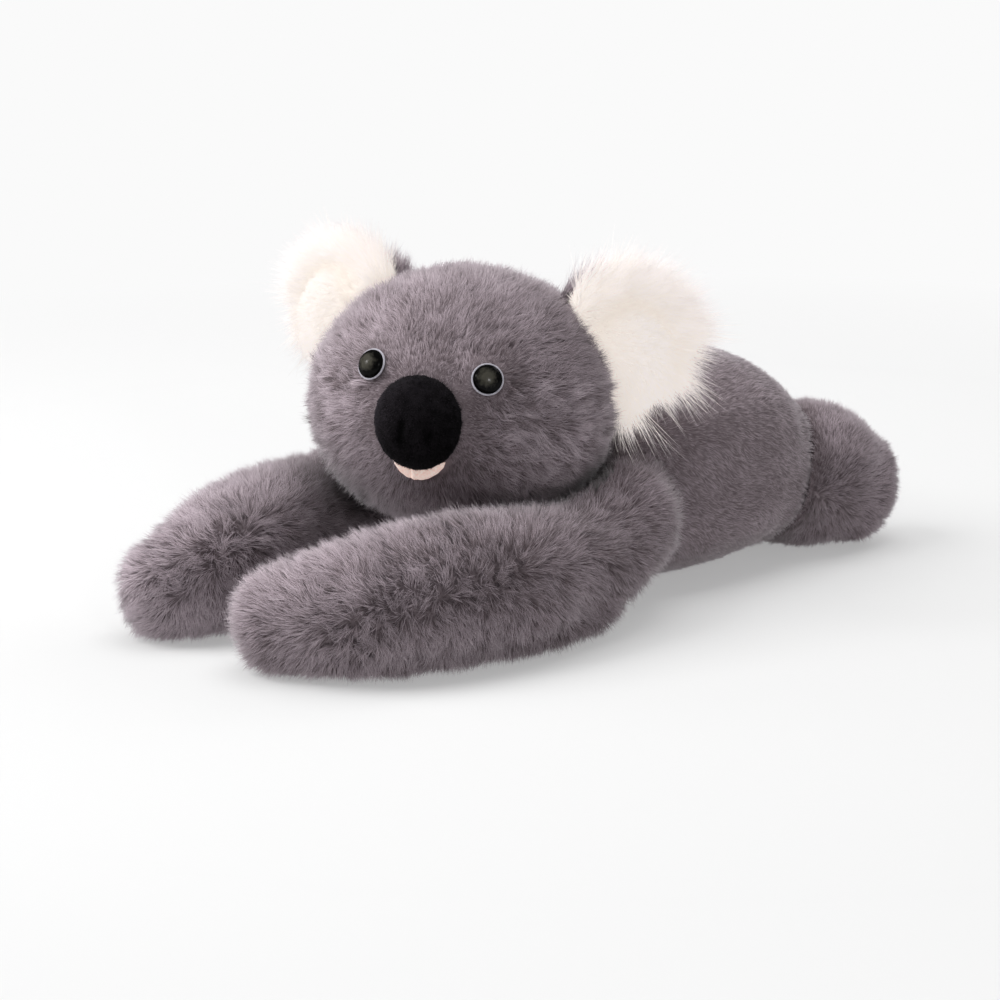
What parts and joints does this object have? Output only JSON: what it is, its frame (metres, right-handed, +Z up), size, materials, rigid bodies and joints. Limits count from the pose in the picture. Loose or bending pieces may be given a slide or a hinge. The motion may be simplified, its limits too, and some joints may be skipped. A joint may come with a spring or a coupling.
{
  "type": "plush koala",
  "caption": "Stuffed koala lying on its belly with long forelegs stretched forward, wadded white-fronted ears, a velvet nose and domed eyes.",
  "frame": {"origin": "middle of the belly's flat rest face, on the surface that the toy lies on", "axes": "+Z up, the toy faces -Y with its own left at +X, and +Y runs from the paws to the hind feet"},
  "size_m": [0.2052, 0.3801, 0.16],
  "materials": {
    "fur_grey": "mauve-grey short to medium pile",
    "fur_white": "long white pile with a cream tint",
    "filling": "white polyester fibre filling",
    "glossy_eye": "dark olive-brown glossy dome",
    "rim_felt": "pale grey felt rim",
    "washer_plastic": "plain moulded washer",
    "nose_velvet": "black short velvet",
    "mouth_felt": "peach felt"
  },
  "bodies": {
    "torso": {"torso_cover": "fur_grey", "torso_filling": "filling"},
    "head": {"head_cover": "fur_grey", "head_filling": "filling", "eye_left": "glossy_eye", "eye_right": "glossy_eye", "eye_rim_left": "rim_felt", "eye_rim_right": "rim_felt", "eye_washer_left": "washer_plastic", "eye_washer_right": "washer_plastic", "nose_cover": "nose_velvet", "nose_filling": "filling", "mouth_patch": "mouth_felt"},
    "ear_left": {"ear_front_left": "fur_white", "ear_back_left": "fur_grey", "ear_wadding_left": "filling"},
    "ear_right": {"ear_front_right": "fur_white", "ear_back_right": "fur_grey", "ear_wadding_right": "filling"},
    "arm_left": {"arm_left_cover": "fur_grey", "arm_left_filling": "filling"},
    "arm_right": {"arm_right_cover": "fur_grey", "arm_right_filling": "filling"},
    "leg_left": {"leg_left_cover": "fur_grey", "leg_left_filling": "filling"},
    "leg_right": {"leg_right_cover": "fur_grey", "leg_right_filling": "filling"}
  },
  "joints": [
    {"name": "neck_turn", "type": "hinge", "parent": "torso", "child": "head", "pos_m": [0, -0.109, 0.094], "axis": [0, 0, 1], "range_deg": [-50, 0], "stiffness_Nm_per_rad": 0.1},
    {"name": "shoulder_left_swing", "type": "hinge", "parent": "torso", "child": "arm_left", "pos_m": [0.058, -0.056, 0.042], "axis": [0, 0, 1], "range_deg": [0, 30], "stiffness_Nm_per_rad": 0.1},
    {"name": "shoulder_right_swing", "type": "hinge", "parent": "torso", "child": "arm_right", "pos_m": [-0.058, -0.056, 0.042], "axis": [0, 0, -1], "range_deg": [0, 30], "stiffness_Nm_per_rad": 0.1},
    {"name": "hip_left_swing", "type": "hinge", "parent": "torso", "child": "leg_left", "pos_m": [0.076, 0.042, 0.0365], "axis": [0, 0, -1], "range_deg": [0, 20], "stiffness_Nm_per_rad": 0.1},
    {"name": "hip_right_swing", "type": "hinge", "parent": "torso", "child": "leg_right", "pos_m": [-0.076, 0.042, 0.0365], "axis": [0, 0, 1], "range_deg": [0, 20], "stiffness_Nm_per_rad": 0.1},
    {"name": "ear_left_fold", "type": "hinge", "parent": "head", "child": "ear_left", "pos_m": [0.04858, -0.06759, 0.11376], "axis": [-0.0632, -0.0295, -0.9976], "range_deg": [-15, 15], "stiffness_Nm_per_rad": 0.01},
    {"name": "ear_right_fold", "type": "hinge", "parent": "head", "child": "ear_right", "pos_m": [-0.05991, -0.11818, 0.12213], "axis": [0.0632, 0.0295, 0.9976], "range_deg": [-15, 15], "stiffness_Nm_per_rad": 0.01}
  ]
}
